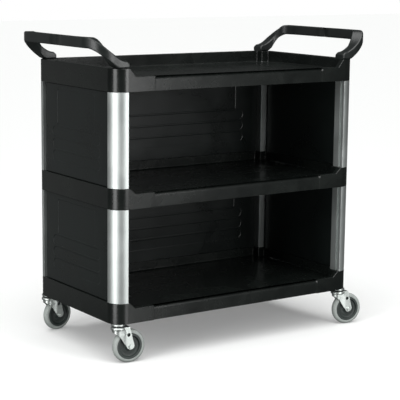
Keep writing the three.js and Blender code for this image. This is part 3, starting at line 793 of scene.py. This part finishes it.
for corner, (sx, sy) in corners.items():
    fork, wheel = f"fork_body_{corner}", f"wheel_body_{corner}"
    swivelLow, swivelHigh = boxOf(f"swivel_stem_{corner}")
    swivelX, swivelY = (swivelLow[0] + swivelHigh[0]) / 2, (swivelLow[1] + swivelHigh[1]) / 2
    tyreLow, tyreHigh = boxOf(f"tyre_{corner}")
    wheelX, wheelY = (tyreLow[0] + tyreHigh[0]) / 2, (tyreLow[1] + tyreHigh[1]) / 2
    heading = math.atan2(wheelY - swivelY, wheelX - swivelX)
    atSwivel = Matrix.Translation((swivelX, swivelY, 0)) @ Matrix.Rotation(heading, 4, "Z")
    atAxle = atSwivel @ Matrix.Translation((casterShape["trail"], 0, casterShape["axle"]))

    bm = bmesh.new()
    turn(bm, flangeProfile, 40)
    finishPiece(f"casterStem_{corner}", bm, zincPlatedSteel, "frame",
                [f"swivel_stem_{corner}"], atSwivel)
    bm = bmesh.new()
    turn(bm, sealProfile, 40)
    finishPiece(f"casterSeal_{corner}", bm, sealNylon, "frame",
                [f"swivel_seal_{corner}"], atSwivel)

    finishPiece(f"forkLegs_{corner}", makeForkLegs(), zincPlatedSteel, fork,
                [f"fork_{corner}"], atSwivel, modifiers=(
        ("SOLIDIFY", {"thickness": casterShape["sheet"] / 1000, "offset": 0,
                      "use_even_offset": True}),
        ("BEVEL", {"width": 0.0006, "segments": 2, "limit_method": "ANGLE",
                   "angle_limit": math.radians(40)}),
    ))
    finishPiece(f"forkCrown_{corner}", makeForkCrown(), zincPlatedSteel, fork, [],
                atSwivel)

    seat = casterShape["seat"]
    bm = makeHex(*casterShape["head"])
    finishPiece(f"axleHead_{corner}", bm, zincPlatedSteel, fork, [],
                atAxle @ Matrix.Translation((0, -seat, 0)))
    bm = makeHex(*casterShape["nut"])
    finishPiece(f"axleNut_{corner}", bm, zincPlatedSteel, fork, [f"axle_nut_{corner}"],
                atAxle @ Matrix.Translation((0, seat, 0)) @ Matrix.Rotation(math.pi, 4, "Z"))

    bm = bmesh.new()
    turn(bm, bothSides(coreProfile), 64, (0, 1, 0))
    finishPiece(f"wheelCore_{corner}", bm, corePolyamide, wheel,
                [f"wheel_core_{corner}"], atAxle)
    bm = bmesh.new()
    turn(bm, bothSides(tyreProfile), 72, (0, 1, 0))
    finishPiece(f"wheelTread_{corner}", bm, greyRubber, wheel, [f"tyre_{corner}"],
                atAxle)

print("casters made")

# carried-over nodes keep their shape and take a finish
for corner in corners:
    for node, material in (
        (f"axle_bolt_{corner}", zincPlatedSteel),
        (f"axle_bush_{corner}", turnedSteel),
        (f"stem_socket_{corner}", sealNylon),
        (f"handle_screw_{corner}", zincPlatedSteel),
    ):
        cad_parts[node].material_slots[0].material = material


# studio: pale floor, soft light, camera

floorMaterial = bpy.data.materials.new("paintedFloor")
floorMaterial.use_nodes = True
floorTree = floorMaterial.node_tree
floorShader = floorTree.nodes["Principled BSDF"]
floorShader.inputs["Base Color"].default_value = linear("#dfe0df")
floorShader.inputs["Roughness"].default_value = 0.9
floorShader.inputs["Emission Color"].default_value = linear("#ffffff")
floorShader.inputs["Emission Strength"].default_value = 0.2     # lit from under, as a light table is
bpy.ops.mesh.primitive_plane_add(size=40, location=(0, 0, 0))
floor = bpy.context.object
floor.name = "studioFloor"
floor.data.materials.append(floorMaterial)
floor.visible_glossy = False     # so that it is neither mirrored nor in the way of the softboxes
floor.visible_diffuse = False
floor.visible_shadow = False

studio = {
    "worldSeen": 1.0,
    "worldFill": 0.07,
    "skyStrength": 3.3,      # soft light from straight above
    "skyAngle": 75,
    "softboxes": (
        # azimuth, distance, lowest and highest edge, width, radiance
        (198, 3.2, -0.8, 2.4, 1.3, 5.0),
        (281, 3.1, 0.1, 2.6, 1.2, 6),
        (279, 3.1, -1.1, -0.35, 1.4, 3.2),
        (118, 3.2, -0.7, 2.2, 1.4, 0.16),
    ),
}

world = bpy.data.worlds.new("studioWorld")
bpy.context.scene.world = world
world.use_nodes = True
worldTree = world.node_tree
worldTree.nodes.clear()
seen = addNode(worldTree, "ShaderNodeBackground", inputs={"Color": linear("#ffffff"),
               "Strength": studio["worldSeen"]}).outputs[0]
fill = addNode(worldTree, "ShaderNodeBackground", inputs={"Color": linear("#f4f7f6"),
               "Strength": studio["worldFill"]}).outputs[0]
isCamera = addNode(worldTree, "ShaderNodeLightPath").outputs["Is Camera Ray"]
mixed = addNode(worldTree, "ShaderNodeMixShader", links={0: isCamera, 1: fill, 2: seen}).outputs[0]
addNode(worldTree, "ShaderNodeOutputWorld", links={"Surface": mixed})


def addLamp(name, kind, settings, place, target):
    lamp = bpy.data.lights.new(name, kind)
    for key, value in settings.items():
        setattr(lamp, key, value)
    obj = bpy.data.objects.new(name, lamp)
    bpy.context.scene.collection.objects.link(obj)
    obj.visible_camera = False
    obj.location = place
    aim = Vector(target) - Vector(place)
    obj.rotation_euler = aim.to_track_quat("-Z", "Y").to_euler()


addLamp("sky", "SUN", {"energy": studio["skyStrength"], "angle": math.radians(studio["skyAngle"])},
        (-0.5, -0.6, 3), (0, 0, 0))
for i, (azimuth, distance, low, high, width, radiance) in enumerate(studio["softboxes"]):
    x, y = (distance * part(math.radians(azimuth)) for part in (math.cos, math.sin))
    middleZ, tall = (low + high) / 2, high - low
    addLamp(f"softbox{i}", "AREA", {"shape": "RECTANGLE", "size": width, "size_y": tall,
            "energy": radiance * math.pi * width * tall}, (x, y, middleZ), (0, 0, middleZ))

cameraSetup = {
    "place": (-2.449, -3.557, 1.179),
    "azimuth": -34.13,
    "elevation": 9.97,
    "roll": 0.55,
    "lens": 123.1,
    "shift": 0.034,
}

camera = bpy.data.objects.new("camera", bpy.data.cameras.new("camera"))
bpy.context.scene.collection.objects.link(camera)
azimuth, elevation, roll = (math.radians(cameraSetup[k]) for k in ("azimuth", "elevation", "roll"))
ahead = Vector((-math.sin(azimuth) * math.cos(elevation), math.cos(azimuth) * math.cos(elevation),
                -math.sin(elevation)))
right = ahead.cross(Vector((0, 0, 1))).normalized()
up = right.cross(ahead)
right, up = (math.cos(roll) * right + math.sin(roll) * up,
             math.cos(roll) * up - math.sin(roll) * right)
turned = Matrix((right, up, -ahead)).transposed()
camera.matrix_world = Matrix.Translation(cameraSetup["place"]) @ turned.to_4x4()
camera.data.lens = cameraSetup["lens"]
camera.data.sensor_width = 36
camera.data.shift_x = cameraSetup["shift"]
bpy.context.scene.camera = camera
bpy.context.scene.view_settings.view_transform = "Standard"

print("studio set")
